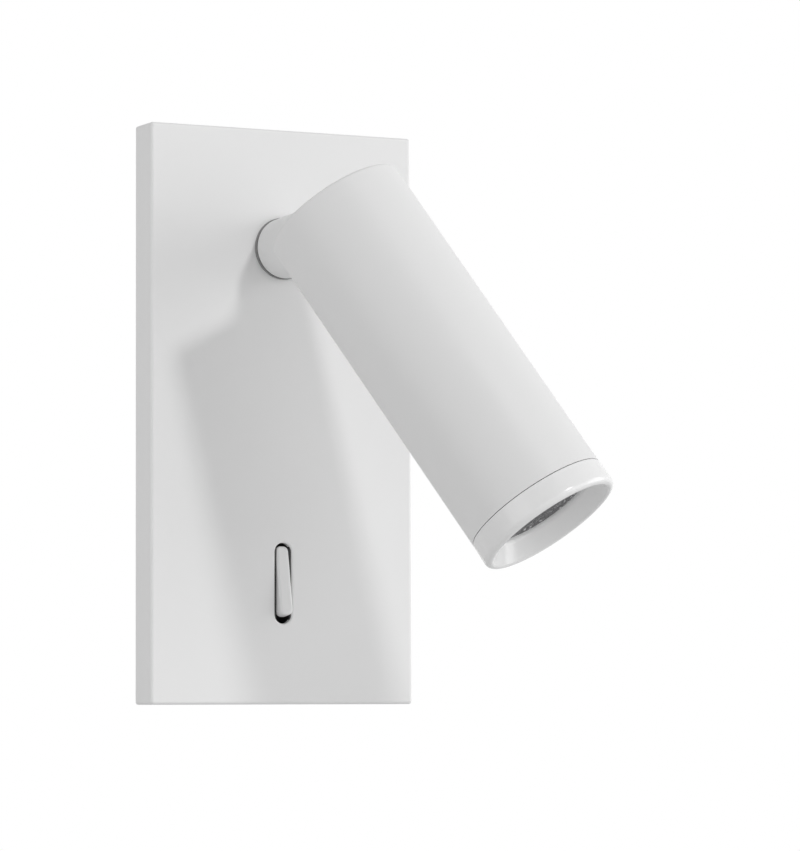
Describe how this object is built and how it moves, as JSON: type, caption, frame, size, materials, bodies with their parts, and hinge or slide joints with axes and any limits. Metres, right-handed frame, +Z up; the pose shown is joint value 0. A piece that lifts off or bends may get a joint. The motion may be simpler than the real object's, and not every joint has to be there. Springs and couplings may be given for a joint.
{
  "type": "bedside wall reading lamp",
  "caption": "Wall reading light: slim upright plate with a rocker switch, a short swivelling neck and a tilting tube-shaped head with a recessed lens.",
  "frame": {"origin": "on the wall, at the middle of the two wall screws, in the back plane of the wall bracket and plate", "axes": "+X right along the plate as seen from the room, +Y into the wall, +Z up along the plate's long side"},
  "size_m": [0.0959, 0.1131, 0.16],
  "materials": {
    "white_coat": "satin white powder coat",
    "white_gloss": "gloss white moulding",
    "white_rocker": "satin white moulding",
    "zinc_steel": "zinc-plated sheet and nuts",
    "stainless": "bright screws and washers",
    "black_nylon": "matte black moulding",
    "black_rubber": "matte",
    "black_sleeve": "satin black cable sheath",
    "lead_blue": "satin",
    "lead_brown": "satin",
    "lead_green": "satin",
    "cream_plastic": "satin",
    "grey_plastic": "satin",
    "brass": "plain",
    "copper_coil": "wound coil on a ferrite core",
    "capacitor_can": "gloss",
    "board_green": "satin",
    "board_white": "white solder mask",
    "sink_aluminium": "plain",
    "led_yellow": "gloss",
    "lens_glass": "pebbled face over a dark well",
    "gasket_black": "matte"
  },
  "bodies": {
    "wall_unit": {"wall_plate": "white_coat", "wall_bracket": "zinc_steel", "cover_screws": "stainless", "cable_grommet": "black_rubber", "terminal_block": "cream_plastic", "terminal_screws": "brass", "earth_screw": "stainless", "earth_lug": "brass", "earth_lead": "lead_green", "driver_case": "grey_plastic", "driver_lid": "grey_plastic", "driver_board": "board_green", "driver_coil": "copper_coil", "driver_capacitor": "capacitor_can", "switch_housing": "black_nylon", "switch_screws": "stainless", "rocker_pin": "stainless", "contact_spring": "brass", "switch_terminals": "brass", "live_lead": "lead_brown", "neutral_lead": "lead_blue", "switched_lead": "lead_brown", "driver_output_cable": "black_sleeve", "friction_washer": "black_nylon"},
    "rocker": {"rocker": "white_rocker"},
    "neck": {"neck_arm": "white_coat", "slide_washer": "black_nylon", "stop_washer": "zinc_steel", "wave_washer": "stainless", "neck_nut": "zinc_steel", "neck_cable": "black_sleeve", "tilt_bolt": "zinc_steel", "tilt_washers": "black_nylon", "spring_washer": "stainless", "tilt_nut": "zinc_steel"},
    "head": {"head_tube": "white_coat", "tilt_yoke": "zinc_steel", "yoke_screw": "stainless", "head_cable": "black_sleeve", "heat_sink": "sink_aluminium", "led_board": "board_white", "led_chip": "led_yellow", "board_screws": "stainless", "lens_holder": "black_nylon", "lens": "lens_glass", "lens_gasket": "gasket_black", "bezel": "white_gloss"}
  },
  "joints": [
    {"name": "neck_swivel", "type": "hinge", "parent": "wall_unit", "child": "neck", "pos_m": [0, -0.0105, 0.04665], "axis": [0, -1, 0], "range_deg": [-190.2, 139.8]},
    {"name": "head_tilt", "type": "hinge", "parent": "neck", "child": "head", "pos_m": [0, -0.053, 0.04665], "axis": [-0.9048, 0, -0.4258], "range_deg": [-25.55, 64.45]},
    {"name": "rocker_tip", "type": "hinge", "parent": "wall_unit", "child": "rocker", "pos_m": [0, -0.0066, -0.0465], "axis": [1, 0, 0], "range_deg": [0, 19.4]}
  ]
}
